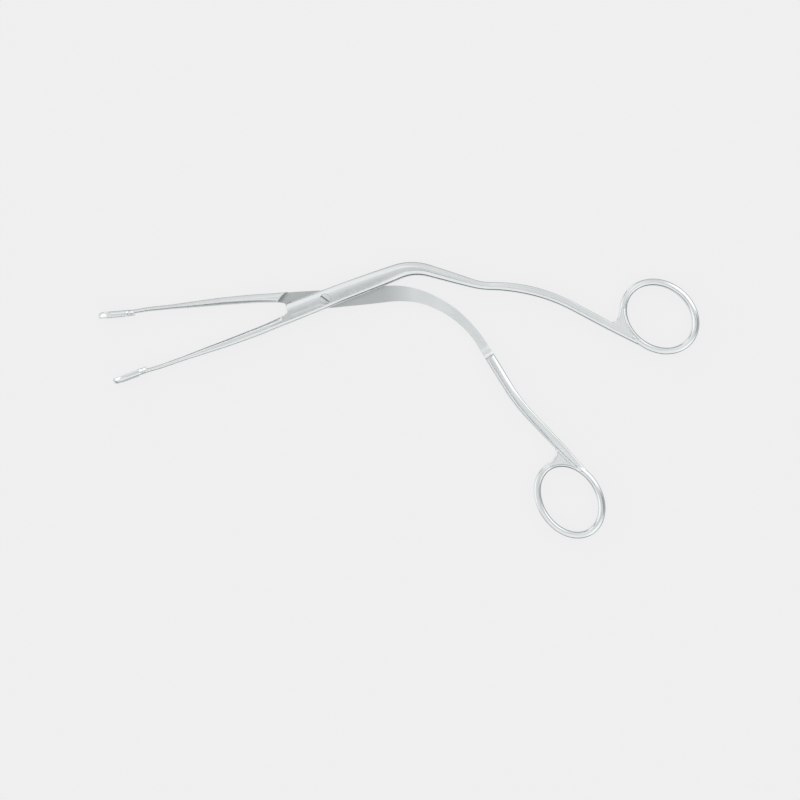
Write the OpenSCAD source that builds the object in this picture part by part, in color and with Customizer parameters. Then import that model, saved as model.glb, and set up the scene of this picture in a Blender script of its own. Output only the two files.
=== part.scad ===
// Magill forceps: two steel halves that cross in a lap joint on one slotted screw.
// Millimetres, +Z up. The origin is on the pivot axis, at the underside of the joint.
// Each half is drawn closed, with its jaw along -X and the jaws' meeting line at y = 0,
// and is then turned about the pivot to where it rests.

/* [Rest position] */
// Angle by which the front half is turned from its closed position
front_tilt = 20.6; // [18:0.1:24]
// Angle by which the rear half is turned
rear_tilt = 5; // [3:0.1:7]

/* [Joint] */
// Thickness through both halves at the joint
joint_t = 7; // [6:0.1:8]
// Width of the lap plates
joint_w = 7.9; // [7:0.1:9]
// Distance from the pivot to the jaw end of a plate
plate_back = 17.2; // [15:0.1:19]
// Angle between the end of a plate and its length
plate_end_lean = 74; // [65:1:85]
// Radius of the free corner of a plate
plate_corner_r = 1.1; // [0.6:0.1:1.6]
// Running clearance between the two lap faces
lap_clear = 0.04; // [0.02:0.01:0.1]
// Length of the lap along the handles, from the pivot
lap_l = 75.5; // [72:0.5:80]
// Radius of the curved ramp where the lap ends on a handle
ramp_r = 7.5; // [6:0.1:9]
// Angle between the shoulder wall and the plate's length
shoulder_lean = 50; // [40:1:60]
// Clearance between a plate's corner and the shoulder wall when closed
shoulder_clear = 0.12; // [0.08:0.01:0.3]
// Length of the curve from a plate's end into the jaw
root_fillet_l = 3.5; // [2.5:0.1:4.5]
// Height of that curve
root_fillet_h = 1.4; // [1:0.1:1.8]

/* [Pivot screw] */
// Diameter of the screw head
head_d = 4.2; // [3.8:0.1:5]
// Height of the screw head
head_h = 1.4; // [1.1:0.1:1.8]
// Diameter of the screw's shank
screw_d = 3; // [2.6:0.1:3.4]
// Width of the driver slot
slot_w = 0.6; // [0.5:0.1:1]
// Depth of the driver slot
slot_depth = 0.7; // [0.5:0.1:0.9]
// Direction of the driver slot
slot_angle = -35.7; // [-90:0.1:90]
// Radial clearance of the screw in the front half
screw_clear = 0.03; // [0.02:0.01:0.08]

/* [Jaws] */
// Distance from the pivot to the jaw tips
jaw_l = 96.5; // [90:0.5:105]
// Distance from the meeting line to the widest point of a jaw arm's back
jaw_w = 4.6; // [4.2:0.1:5.2]
// Length of the oval grip at the tip
pad_l = 15.5; // [14:0.5:18]
// Width of the grip across the jaw
pad_w = 6.6; // [6:0.1:8]
// Thickness of the grip
pad_t = 2.7; // [2.4:0.1:3.2]
// Length of the grip's round nose
pad_nose_l = 6; // [4.5:0.1:6.5]
// Length of the window in the grip
window_l = 8.4; // [7:0.1:9.2]
// Width of the window
window_w = 2.6; // [2:0.1:3]
// Depth of the grip's cross grooves
groove_depth = 0.3; // [0.2:0.05:0.4]
// Spacing of the cross grooves
groove_pitch = 1.1; // [0.9:0.1:1.5]
// Distance between the two grips when closed
tip_gap = 0.1; // [0.06:0.02:0.2]

/* [Front handle] */
// Straight length from the pivot to the first bend
front_neck = 32.6; // [30:0.1:35]
// Radius of the first bend
front_bend_r = 21.4; // [18:0.2:26]
// Angle of the first bend
front_bend_angle = 36.9; // [33:0.1:40]
// Straight length after the first bend
front_run = 18.8; // [16:0.1:22]
// Radius of the bend back
front_back_r = 31; // [26:0.5:40]
// Angle of the bend back
front_back_angle = 16; // [13:0.5:19]
// Radius of the long sweep
front_sweep_r = 75; // [65:0.5:90]
// Angle of the long sweep
front_sweep_angle = 27.8; // [24:0.1:31]
// Straight length from the sweep to the ring
front_tail = 35; // [30:0.5:40]

/* [Rear handle] */
// Straight length from the pivot to the bend
rear_neck = 27.1; // [24:0.1:30]
// Radius of the tighter first part of the bend
rear_bend_r = 37.3; // [33:0.1:42]
// Angle of that part
rear_bend_angle = 28.6; // [26:0.1:31]
// Radius of the wider second part
rear_sweep_r = 47.8; // [43:0.1:53]
// Angle of that part
rear_sweep_angle = 35; // [32:0.1:38]
// Straight length after the bend
rear_run = 20.2; // [18:0.1:23]
// Radius of the bend back
rear_back_r = 79; // [70:1:90]
// Angle of the bend back
rear_back_angle = 12.4; // [9:0.1:15]
// Straight length from the bend back to the ring
rear_tail = 34.5; // [30:0.5:40]

/* [Finger rings] */
// Half length of the front ring's oval, to the middle of its band
front_ring_a = 16.4; // [15:0.1:18]
// Half width of the front ring's oval
front_ring_b = 13.45; // [12:0.05:15]
// Direction of the front ring's long axis
front_ring_angle = -58.5; // [-65:0.5:-50]
// Half length of the rear ring's oval, to the middle of its band
rear_ring_a = 16.3; // [15:0.1:18]
// Half width of the rear ring's oval
rear_ring_b = 12.35; // [11.5:0.05:14]
// Direction of the rear ring's long axis
rear_ring_angle = -61; // [-68:0.5:-54]
// Width of a ring's band
band_w = 3; // [2.6:0.1:3.4]
// Thickness of a ring's band
band_t = 4.8; // [4.2:0.1:5.6]
// Thickness of the web between a ring and its handle
web_t = 4.1; // [3:0.1:4.2]
// How far the front web reaches back along its handle
front_web_l = 19.8; // [18.5:0.1:22]
// How far it reaches round its ring
front_web_angle = 73; // [68:1:78]
// How far the rear web reaches back along its handle
rear_web_l = 22; // [20.5:0.1:23.5]
// How far it reaches round its ring
rear_web_angle = 73; // [68:1:78]

/* [Hidden] */
mid_z = joint_t / 2;
screw_r = screw_d / 2;
head_r = head_d / 2;
overrun = joint_t / 7;
corner_steps = 4;
arm_steps = 58;
jaw_steps = 34;
pad_steps = 8;
ring_steps = 56;
arc_steps = 8;
$fn = 72;

// A corner's centre lies in from the plate's end and from its edge.
corner_y = joint_w / 2 - plate_corner_r;
corner_x = -plate_back + corner_y / tan(plate_end_lean) + plate_corner_r / sin(plate_end_lean);
// The shoulder wall crosses the meeting line where it just clears that corner.
corner_reach = plate_corner_r + shoulder_clear + corner_y * cos(shoulder_lean);
wall_x = -corner_x + corner_reach / sin(shoulder_lean);

// A jaw arm from its root to the grip. Each row gives the place as a share of jaw_l, the
// inner and the outer edge as shares of jaw_w, and the height as a share of joint_t.
jaw_share = [
    [0.020, 0.05, 0.850, 1.00],
    [0.100, 0.05, 0.900, 1.00],
    [0.140, 0.06, 0.920, 1.00],
    [0.193, 0.08, 0.935, 1.00],
    [0.219, 0.13, 0.940, 1.00],
    [0.250, 0.18, 0.955, 1.00],
    [0.307, 0.24, 0.995, 0.95],
    [0.350, 0.25, 1.000, 0.90],
    [0.460, 0.28, 0.975, 0.76],
    [0.570, 0.29, 0.860, 0.66],
    [0.680, 0.32, 0.730, 0.60],
    [0.780, 0.30, 0.690, 0.56],
    [0.832, 0.22, 0.590, 0.54],
    [0.866, 0.16, 0.545, 0.52]
];
// How round the jaw arm's section is, against its place as a share of jaw_l
jaw_round_share = [[0.02, 0.25], [0.25, 0.3], [0.35, 0.65], [0.5, 0.8], [0.866, 0.8]];

// The handles. Each row gives a place as a share of the path from the pivot to the ring
// and the width as a share of joint_w.
front_width_share = [
    [0.00, 1.00],
    [0.12, 0.96],
    [0.18, 0.90],
    [0.235, 0.83],
    [0.295, 0.68],
    [0.355, 0.61],
    [0.415, 0.54],
    [0.475, 0.43],
    [0.52, 0.45],
    [0.60, 0.49],
    [0.70, 0.475],
    [0.88, 0.46],
    [1.00, 0.32]
];
rear_width_share = [
    [0.00, 0.96],
    [0.12, 0.92],
    [0.185, 0.85],
    [0.22, 0.82],
    [0.28, 0.67],
    [0.34, 0.57],
    [0.41, 0.50],
    [0.455, 0.45],
    [0.49, 0.45],
    [0.52, 0.50],
    [0.57, 0.55],
    [0.63, 0.52],
    [0.88, 0.50],
    [1.00, 0.32]
];
// Height of a handle as a share of joint_t, and how round its section is
handle_height_share = [[0, 1], [0.2, 1], [0.33, 0.9], [0.5, 0.76], [0.6, 0.7], [1, 0.62]];
handle_round_share = [[0, 0.22], [0.2, 0.26], [0.32, 0.8], [0.46, 0.85], [0.56, 0.6], [1, 0.7]];
band_round_share = 0.85;
// The grip: roundness of its section, length of its thinner tip as a share of the nose's,
// thickness at the very tip as a share of the full one, length of its neck
pad_round_share = 0.35;
pad_slim_share = 0.3;
pad_nose_t_share = 0.6;
pad_neck_share = 0.25;
// Length of the closed rim before the window, as a share of the nose's length
pad_rim_share = 0.45;

front_path = [
    [front_neck, 0],
    [arc_l(front_bend_r, front_bend_angle), -front_bend_angle],
    [front_run, 0],
    [arc_l(front_back_r, front_back_angle), front_back_angle],
    [arc_l(front_sweep_r, front_sweep_angle), -front_sweep_angle],
    [front_tail, 0]
];
rear_path = [
    [rear_neck, 0],
    [arc_l(rear_bend_r, rear_bend_angle), -rear_bend_angle],
    [arc_l(rear_sweep_r, rear_sweep_angle), -rear_sweep_angle],
    [rear_run, 0],
    [arc_l(rear_back_r, rear_back_angle), rear_back_angle],
    [rear_tail, 0]
];

// Length of an arc
function arc_l(r, angle) = r * angle * PI / 180;

// Unit vectors along a heading and to its left
function ahead(h) = [cos(h), sin(h)];
function left(h) = [-sin(h), cos(h)];

// Where a piece of path ends: a straight, or an arc that turns by piece[1]
function piece_end(piece, p, h) =
    piece[1] == 0
        ? p + piece[0] * ahead(h)
        : p + piece[0] * 180 / (PI * piece[1]) * (left(h) - left(h + piece[1]));

// Point and heading at a distance along a path
function pose(path, s, i = 0, p = [0, 0], h = 0) =
    s <= path[i][0] || i == len(path) - 1
        ? let (part = [s, path[i][1] * s / path[i][0]]) [piece_end(part, p, h), h + part[1]]
        : pose(path, s - path[i][0], i + 1, piece_end(path[i], p, h), h + path[i][1]);

function path_l(path, i = 0) = i == len(path) ? 0 : path[i][0] + path_l(path, i + 1);

// A column of a table against its first column
function column(table, k) = [for (row = table) [row[0], row[k]]];

// A rectangle with half sizes a and b and round corners, as points round its edge
function section(a, b, round_share) =
    let (r = round_share * min(a, b))
    [
        for (q = [0 : 3], k = [0 : corner_steps])
            let (
                t = 90 * (q + k / corner_steps),
                side_u = q == 0 || q == 3 ? 1 : -1,
                side_v = q < 2 ? 1 : -1
            )
            [side_u * (a - r) + r * cos(t), side_v * (b - r) + r * sin(t)]
    ];

// The section's points in space, across the heading
function placed(p, h, points, z) =
    [for (q = points) [p.x - sin(h) * q[0], p.y + cos(h) * q[0], z + q[1]]];

// One solid through a row of placed sections; a loop joins its last section to its first
module loft(rows, loop = false) {
    n = len(rows[0]);
    last = len(rows) - 1;
    skin = [
        for (i = [0 : loop ? last : last - 1], j = [0 : n - 1])
            let (i2 = (i + 1) % (last + 1), j2 = (j + 1) % n)
            each [
                [i * n + j, i2 * n + j, i2 * n + j2],
                [i * n + j, i2 * n + j2, i * n + j2]
            ]
    ];
    caps = loop ? [] : [
        [for (j = [0 : n - 1]) j],
        [for (j = [n - 1 : -1 : 0]) last * n + j]
    ];
    polyhedron(points = [for (row = rows) each row], faces = concat(skin, caps));
}

// The plate and handle, from behind the pivot to the ring
module handle(path, width_share) {
    whole = path_l(path);
    start = -plate_back - root_fillet_l;
    rows = [
        for (i = [0 : arm_steps])
            let (
                s = start + (whole - start) * i / arm_steps,
                at = pose(path, s),
                share = s / whole,
                a = lookup(share, width_share) * joint_w / 2,
                b = lookup(share, handle_height_share) * joint_t / 2
            )
            placed(at[0], at[1], section(a, b, lookup(share, handle_round_share)), mid_z)
    ];
    loft(rows);
}

// What is cut off the jaw end of a plate: all beyond its leaning end and round corner
module plate_end(side) {
    far = plate_back + 2 * root_fillet_l;
    high = joint_w;
    line_low = -plate_back - high / tan(plate_end_lean);
    arc = [
        for (k = [0 : arc_steps])
            let (t = 90 + plate_end_lean * (1 - k / arc_steps))
            [corner_x + plate_corner_r * cos(t), corner_y + plate_corner_r * sin(t)]
    ];
    outline = concat([[-far, -high], [line_low, -high]], arc, [[corner_x, high], [-far, high]]);
    translate([0, 0, -overrun])
        linear_extrude(joint_t + 2 * overrun)
            polygon([for (q = outline) [q.x, -side * q.y]]);
}

// The curve that leads from a plate's end into the jaw's inner edge
module root_fillet(side) {
    inner = lookup((plate_back + root_fillet_l / 2) / jaw_l, column(jaw_share, 1)) * jaw_w;
    end_x = -plate_back + root_fillet_h / tan(plate_end_lean);
    curve = [
        for (k = [0 : arc_steps])
            let (t = 90 * k / arc_steps)
            [
                end_x - root_fillet_l * (1 - sin(t)),
                root_fillet_h * (1 - cos(t)) - inner
            ]
    ];
    outline = concat(
        [[end_x - root_fillet_l, -joint_w / 4]],
        curve,
        [[end_x + root_fillet_h, root_fillet_h - inner], [end_x + root_fillet_h, -joint_w / 4]]
    );
    linear_extrude(joint_t)
        polygon([for (q = outline) [q.x, -side * q.y]]);
}

// A jaw arm; side is 1 where the jaw lies above the meeting line and -1 below it
module jaw_arm(side) {
    first = jaw_share[0][0];
    last = jaw_share[len(jaw_share) - 1][0];
    rows = [
        for (i = [0 : jaw_steps])
            let (
                share = last + (first - last) * i / jaw_steps,
                inner = lookup(share, column(jaw_share, 1)) * jaw_w,
                outer = lookup(share, column(jaw_share, 2)) * jaw_w,
                b = lookup(share, column(jaw_share, 3)) * joint_t / 2,
                a = (outer - inner) / 2
            )
            placed(
                [-share * jaw_l, side * (inner + outer) / 2],
                0,
                section(a, b, lookup(share, jaw_round_share)),
                mid_z
            )
    ];
    loft(rows);
}

// Half width of the grip at a distance from its tip: an oval nose, then full, then a neck
function pad_half(d) =
    let (
        full = pad_w / 2,
        neck_l = pad_l * pad_neck_share,
        neck = lookup((jaw_l - pad_l) / jaw_l, column(jaw_share, 3)) * mid_z
    )
    d < pad_nose_l ? full * sqrt(max(0, 1 - pow(1 - d / pad_nose_l, 2)))
    : d < pad_l - neck_l ? full
    : neck + (full - neck) * (1 + cos(180 * (d - pad_l + neck_l) / neck_l)) / 2;

// The oval grip with its window and cross grooves
module grip(side) {
    neck_l = pad_l * pad_neck_share;
    slim_l = pad_nose_l * pad_slim_share;
    face = tip_gap / 2;
    stops = concat(
        [for (k = [1 : pad_steps]) pad_nose_l * (1 - cos(90 * k / pad_steps))],
        [for (k = [0 : pad_steps]) pad_l - neck_l + neck_l * k / pad_steps]
    );
    rows = [
        for (d = stops)
            let (
                slim = d < slim_l ? sqrt(1 - pow(1 - d / slim_l, 2)) : 1,
                a = (pad_t - face) / 2 * (pad_nose_t_share + (1 - pad_nose_t_share) * slim),
                b = pad_half(d)
            )
            placed([-jaw_l + d, side * (face + a)], 0, section(a, b, pad_round_share), mid_z)
    ];
    window_x = -jaw_l + (pad_l - neck_l + pad_nose_l * pad_rim_share) / 2;
    groove_n = floor(window_l / groove_pitch);
    difference() {
        loft(rows);
        for (end = [-1, 1])
            translate([window_x + end * (window_l - window_w) / 2, -overrun, mid_z])
                rotate([-90, 0, 0])
                    translate([0, 0, side < 0 ? -pad_t : 0])
                        cylinder(d = window_w, h = pad_t + 2 * overrun);
        translate([window_x, side * pad_t / 2, mid_z])
            cube([window_l - window_w, pad_t + 2 * overrun, window_w], center = true);
        for (k = [0 : groove_n])
            translate([window_x + (k - groove_n / 2) * groove_pitch, side * face, mid_z])
                rotate([0, 0, 45])
                    cube([groove_depth * sqrt(2), groove_depth * sqrt(2), pad_w + overrun], center = true);
    }
}

// A point of an oval at parameter t, turned by its long axis's direction
function oval(a, b, turn, t) = a * cos(t) * ahead(turn) + b * sin(t) * left(turn);

// Where an oval runs along heading h; way is 1 when its centre lies to the left
function oval_touch(a, b, turn, h, way) =
    atan2(-way * b * cos(h - turn), way * a * sin(h - turn));

function ring_centre(path, a, b, turn, way) =
    let (at = pose(path, path_l(path)))
    at[0] - oval(a, b, turn, oval_touch(a, b, turn, at[1], way));

// The finger ring, which the handle runs into along its side
module ring(path, a, b, turn, way) {
    centre = ring_centre(path, a, b, turn, way);
    rows = [
        for (i = [0 : ring_steps - 1])
            let (
                t = 360 * i / ring_steps,
                along = -a * sin(t) * ahead(turn) + b * cos(t) * left(turn)
            )
            placed(
                centre + oval(a, b, turn, t),
                atan2(along.y, along.x),
                section(band_w / 2, band_t / 2, band_round_share),
                mid_z
            )
    ];
    loft(rows, loop = true);
}

// The web in the corner between the ring and its handle, with a hollow curve that runs
// from the handle's inner edge, web_l short of the ring, to a point on the ring's outside
module web(path, a, b, turn, way, web_l, web_turn) {
    whole = path_l(path);
    centre = ring_centre(path, a, b, turn, way);
    back = pose(path, whole - web_l);
    heading = back[1];
    near = back[0] + way * band_w / 2 * left(heading);
    t_far = oval_touch(a, b, turn, pose(path, whole)[1], way) - way * web_turn;
    out_a = a + band_w / 2;
    out_b = b + band_w / 2;
    far = centre + oval(out_a, out_b, turn, t_far);
    // The ring's direction at that point, and where it meets the handle's edge
    along = -out_a * sin(t_far) * ahead(turn) + out_b * cos(t_far) * left(turn);
    far_left = left(atan2(along.y, along.x));
    corner = near + ahead(heading) * ((far - near) * far_left) / (ahead(heading) * far_left);
    hollow = [
        for (k = [0 : arc_steps])
            let (t = k / arc_steps)
            (1 - t) * (1 - t) * near + 2 * t * (1 - t) * corner + t * t * far
    ];
    rim = [
        for (k = [0 : arc_steps])
            centre + oval(a, b, turn, t_far + way * web_turn * k / arc_steps)
    ];
    translate([0, 0, mid_z - web_t / 2])
        linear_extrude(web_t)
            polygon(concat(hollow, rim, [back[0]]));
}

// What is milled away above the lap face, from the shoulder wall to the ramp
module lap_cut(side, path) {
    wide = joint_w;
    steps = 2 * arc_steps;
    lap_z = mid_z - lap_clear / 2;
    lean_run = wide / tan(shoulder_lean);
    left_edge = [
        for (i = [1 : steps])
            let (at = pose(path, lap_l * i / steps))
            at[0] + wide * left(at[1])
    ];
    right_edge = [
        for (i = [steps : -1 : 1])
            let (at = pose(path, lap_l * i / steps))
            at[0] - wide * left(at[1])
    ];
    outline = concat(
        [[-wall_x - side * lean_run, -wide], [-wall_x + side * lean_run, wide]],
        left_edge,
        right_edge
    );
    end = pose(path, lap_l);
    curve = [
        for (k = [0 : arc_steps])
            let (t = 90 * k / arc_steps)
            [ramp_r * sin(t), lap_z + ramp_r * (1 - cos(t))]
    ];
    profile = concat(
        [[-overrun, lap_z]],
        curve,
        [[ramp_r, joint_t + ramp_r], [-overrun, joint_t + ramp_r]]
    );
    translate([0, 0, lap_z])
        linear_extrude(joint_t)
            polygon(outline);
    translate(end[0])
        rotate([90, 0, end[1]])
            linear_extrude(2 * wide, center = true)
                polygon(profile);
}

// Turns what is cut from above into what is cut from below for the front half
module layer(side) {
    if (side > 0)
        children();
    else
        translate([0, 0, joint_t])
            mirror([0, 0, 1])
                children();
}

// One half, closed, with its jaw on the given side and half of the joint milled away
module half(side, path, width_share, a, b, turn, way, web_l, web_turn) {
    difference() {
        union() {
            difference() {
                handle(path, width_share);
                plate_end(side);
            }
            root_fillet(side);
            jaw_arm(side);
            grip(side);
            ring(path, a, b, turn, way);
            web(path, a, b, turn, way, web_l, web_turn);
        }
        layer(side)
            lap_cut(side, path);
    }
}

module front_half() {
    color("#c9ced1")
        rotate(front_tilt)
            difference() {
                half(
                    -1, front_path, front_width_share, front_ring_a, front_ring_b,
                    front_ring_angle, 1, front_web_l, front_web_angle
                );
                translate([0, 0, mid_z - overrun])
                    cylinder(r = screw_r + screw_clear, h = joint_t);
                translate([0, 0, joint_t - head_h - screw_clear])
                    cylinder(r = head_r + screw_clear, h = joint_t);
            }
}

module rear_half() {
    color("#b9bfc2")
        rotate(rear_tilt)
            difference() {
                half(
                    1, rear_path, rear_width_share, rear_ring_a, rear_ring_b,
                    rear_ring_angle, -1, rear_web_l, rear_web_angle
                );
                translate([0, 0, -overrun])
                    cylinder(r = screw_r, h = joint_t);
            }
}

module pivot_screw() {
    color("#aeb4b7")
        difference() {
            union() {
                cylinder(r = screw_r, h = joint_t - head_h / 2);
                translate([0, 0, joint_t - head_h])
                    cylinder(r = head_r, h = head_h);
            }
            translate([0, 0, joint_t + overrun / 2])
                rotate(slot_angle)
                    cube([head_d + overrun, slot_w, 2 * slot_depth + overrun], center = true);
        }
}

front_half();
rear_half();
pivot_screw();
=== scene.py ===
import math

import bpy
import numpy as np
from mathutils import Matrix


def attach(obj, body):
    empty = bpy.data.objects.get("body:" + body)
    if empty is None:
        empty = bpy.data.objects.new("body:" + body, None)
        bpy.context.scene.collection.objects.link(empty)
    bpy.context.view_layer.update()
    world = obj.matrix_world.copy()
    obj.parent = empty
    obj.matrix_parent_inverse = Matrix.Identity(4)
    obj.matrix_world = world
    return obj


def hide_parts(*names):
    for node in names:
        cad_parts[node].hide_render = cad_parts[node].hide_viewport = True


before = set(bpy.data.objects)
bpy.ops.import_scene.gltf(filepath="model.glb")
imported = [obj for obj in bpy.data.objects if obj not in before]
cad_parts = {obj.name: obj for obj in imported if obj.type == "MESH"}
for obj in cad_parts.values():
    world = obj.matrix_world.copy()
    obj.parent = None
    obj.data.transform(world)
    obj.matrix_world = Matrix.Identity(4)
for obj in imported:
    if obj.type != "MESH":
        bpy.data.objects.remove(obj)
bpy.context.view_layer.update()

# Sizes are in millimetres and become metres when a mesh is made. Each half is made closed,
# with its jaw along -X, and is then turned about the pivot to where it rests.
MM = 0.001
FRONT_TILT = 20.6
REAR_TILT = 5.0

# Joint
JOINT_T = 7.0
JOINT_W = 7.9
MID_Z = JOINT_T / 2
PLATE_BACK = 17.2
PLATE_END_LEAN = 74.0
PLATE_CORNER_R = 1.1
LAP_CLEAR = 0.04
LAP_L = 75.5
RAMP_R = 7.5
SHOULDER_LEAN = 50.0
SHOULDER_CLEAR = 0.12
BEVEL_W = 1.05
BEVEL_H = 0.88
ROOT_FILLET_L = 3.5
ROOT_FILLET_H = 1.4

# Pivot screw
HEAD_R = 2.1
HEAD_H = 1.4
HEAD_RIM = 0.18
SCREW_R = 1.5
SLOT_W = 0.6
SLOT_DEPTH = 0.7
SLOT_ANGLE = -35.7
SCREW_CLEAR = 0.03

# Jaws
JAW_L = 96.5
JAW_W = 4.6
PAD_L = 15.5
PAD_W = 6.6
PAD_T = 2.7
PAD_NOSE_L = 6.0
PAD_SLIM_L = 1.8
PAD_SLIM_T_SHARE = 0.6
PAD_NECK_L = 3.9
PAD_RIM = 2.7
WINDOW_L = 8.4
WINDOW_W = 2.6
GROOVE_DEPTH = 0.3
GROOVE_PITCH = 1.1
TIP_GAP = 0.1

# Rings and webs
BAND_W = 3.0
BAND_T = 4.8
WEB_T = 4.1
WEB_EDGE_W = 0.4
WEB_EDGE_DROP = 0.24
BLEND_START = 1.2
BLEND_END = 0.3

# Half length, half width and angle of each ring's centre line. Length of its web along the
# handle, and the angle round the ring that the web takes.
FRONT_RING, FRONT_WEB = (16.4, 13.45, -58.5), (19.8, 73)
REAR_RING, REAR_WEB = (16.3, 12.35, -61), (22, 73)

# How finely and how softly the shapes are made
OVERRUN = 1.0
VOXEL = 0.16
SMOOTH_FACTOR = 0.5
SMOOTH_PASSES = 3
SMOOTH_ANGLE = 32.0
ARC_STEPS = 16
HANDLE_STEPS = 420
JAW_STEPS = 300
NOSE_STEPS = 50
PAD_STEPS = 60
RING_STEPS = 240
LAP_STEPS = 80
WINDOW_STEPS = 24
BORE_STEPS = 96
SCREW_STEPS = 128
RIM_STEPS = 8
GRAIN_STEPS = 500
GRAIN_BATCH = 20000

# Stretch of a table that is averaged, as a share of the path or of the jaw
FORM_SOFTEN = 0.03
HEIGHT_SOFTEN = 0.04
JAW_SOFTEN = 0.02

# The most that a section's slopes take of its half width and half height, and that a
# softened corner takes of an edge
SLOPES_W_SHARE = 1.9
SLOPES_H_SHARE = 0.9
CORNER_SHARE = 0.45


def arc(radius, degrees):
    """A piece of path that bends: its length and the angle it turns by."""
    return radius * abs(math.radians(degrees)), degrees


FRONT_PATH = [(32.6, 0), arc(21.4, -36.9), (18.8, 0), arc(31, 16), arc(75, -27.8), (35, 0)]
REAR_PATH = [(27.1, 0), arc(37.3, -28.6), arc(47.8, -35), (20.2, 0), arc(79, 12.4), (34.5, 0)]

# Share of the path, width as a share of JOINT_W
FRONT_WIDTH = [
    (0.00, 1.00), (0.12, 0.96), (0.18, 0.90), (0.235, 0.83), (0.295, 0.68), (0.355, 0.61),
    (0.415, 0.54), (0.475, 0.43), (0.52, 0.45), (0.60, 0.49), (0.70, 0.475), (0.88, 0.46),
    (1.00, 0.32),
]
REAR_WIDTH = [
    (0.00, 0.96), (0.12, 0.92), (0.185, 0.85), (0.22, 0.82), (0.28, 0.67), (0.34, 0.57),
    (0.41, 0.50), (0.455, 0.45), (0.49, 0.45), (0.52, 0.50), (0.57, 0.55), (0.63, 0.52),
    (0.88, 0.50), (1.00, 0.32),
]
# Share of the path, height as a share of JOINT_T
HANDLE_HEIGHT = [(0, 1), (0.2, 1), (0.33, 0.9), (0.5, 0.76), (0.6, 0.7), (1, 0.62)]

# How the handles are ground. Share of the path, then for the left and for the right side
# the width and drop of the shallow slope and of the steep one, then how soft the edges are
# and how much the whole top is crowned.
FRONT_FORM = [
    (-0.12, 1.5, 0.12, 0.55, 0.48, 1.00, 0.24, 0.22, 0.28, 0.20, 0.30),
    (0.00, 1.5, 0.12, 0.50, 0.42, 0.95, 0.18, 0.24, 0.28, 0.20, 0.30),
    (0.03, 1.6, 0.12, 0.30, 0.25, 0.55, 0.09, 0.75, 0.70, 0.18, 0.30),
    (0.16, 1.6, 0.18, 0.35, 0.28, 0.75, 0.13, 0.75, 0.70, 0.28, 0.28),
    (0.20, 1.6, 0.22, 0.45, 0.33, 1.10, 0.22, 0.62, 0.56, 0.40, 0.25),
    (0.27, 1.6, 0.34, 0.45, 0.36, 1.30, 0.38, 0.60, 0.56, 0.50, 0.16),
    (0.36, 1.3, 0.30, 0.40, 0.32, 1.15, 0.38, 0.55, 0.51, 0.40, 0.10),
    (0.47, 1.0, 0.22, 0.30, 0.26, 1.05, 0.38, 0.40, 0.38, 0.30, 0.05),
    (0.55, 1.9, 0.17, 0.25, 0.23, 0.95, 0.32, 0.45, 0.42, 0.18, 0.03),
    (0.88, 1.9, 0.17, 0.25, 0.23, 0.90, 0.31, 0.45, 0.42, 0.18, 0.03),
    (1.00, 1.0, 0.10, 0.25, 0.23, 0.70, 0.25, 0.40, 0.38, 0.20, 0.03),
]
REAR_FORM = [
    (-0.12, 1.6, 0.10, 0.35, 0.30, 1.60, 0.10, 0.35, 0.30, 0.25, 0.15),
    (0.20, 1.6, 0.15, 0.35, 0.35, 1.60, 0.15, 0.35, 0.35, 0.30, 0.15),
    (0.48, 1.2, 0.36, 0.35, 0.35, 0.50, 0.12, 0.40, 0.44, 0.30, 0.02),
    (0.62, 1.2, 0.36, 0.35, 0.35, 0.50, 0.12, 0.40, 0.44, 0.30, 0.02),
    (0.70, 1.3, 0.20, 0.32, 0.28, 0.55, 0.15, 0.40, 0.42, 0.20, 0.03),
    (0.80, 1.3, 0.17, 0.30, 0.25, 0.50, 0.06, 0.40, 0.38, 0.20, 0.01),
    (0.86, 1.3, 0.16, 0.30, 0.25, 0.50, 0.01, 0.35, 0.16, 0.15, 0.00),
    (1.00, 0.8, 0.14, 0.25, 0.25, 0.50, 0.01, 0.35, 0.16, 0.15, 0.00),
]

# Share of JAW_L, inner and outer edge as shares of JAW_W, height as a share of JOINT_T
JAW = [
    (0.020, 0.05, 0.850, 1.00), (0.100, 0.05, 0.900, 1.00), (0.140, 0.06, 0.920, 1.00),
    (0.193, 0.08, 0.935, 1.00), (0.219, 0.13, 0.940, 1.00), (0.250, 0.18, 0.955, 1.00),
    (0.307, 0.24, 0.995, 0.95), (0.350, 0.25, 1.000, 0.90), (0.460, 0.28, 0.975, 0.76),
    (0.570, 0.29, 0.860, 0.66), (0.680, 0.32, 0.730, 0.60), (0.780, 0.30, 0.690, 0.56),
    (0.832, 0.22, 0.590, 0.54), (0.866, 0.16, 0.545, 0.52),
]
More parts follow.
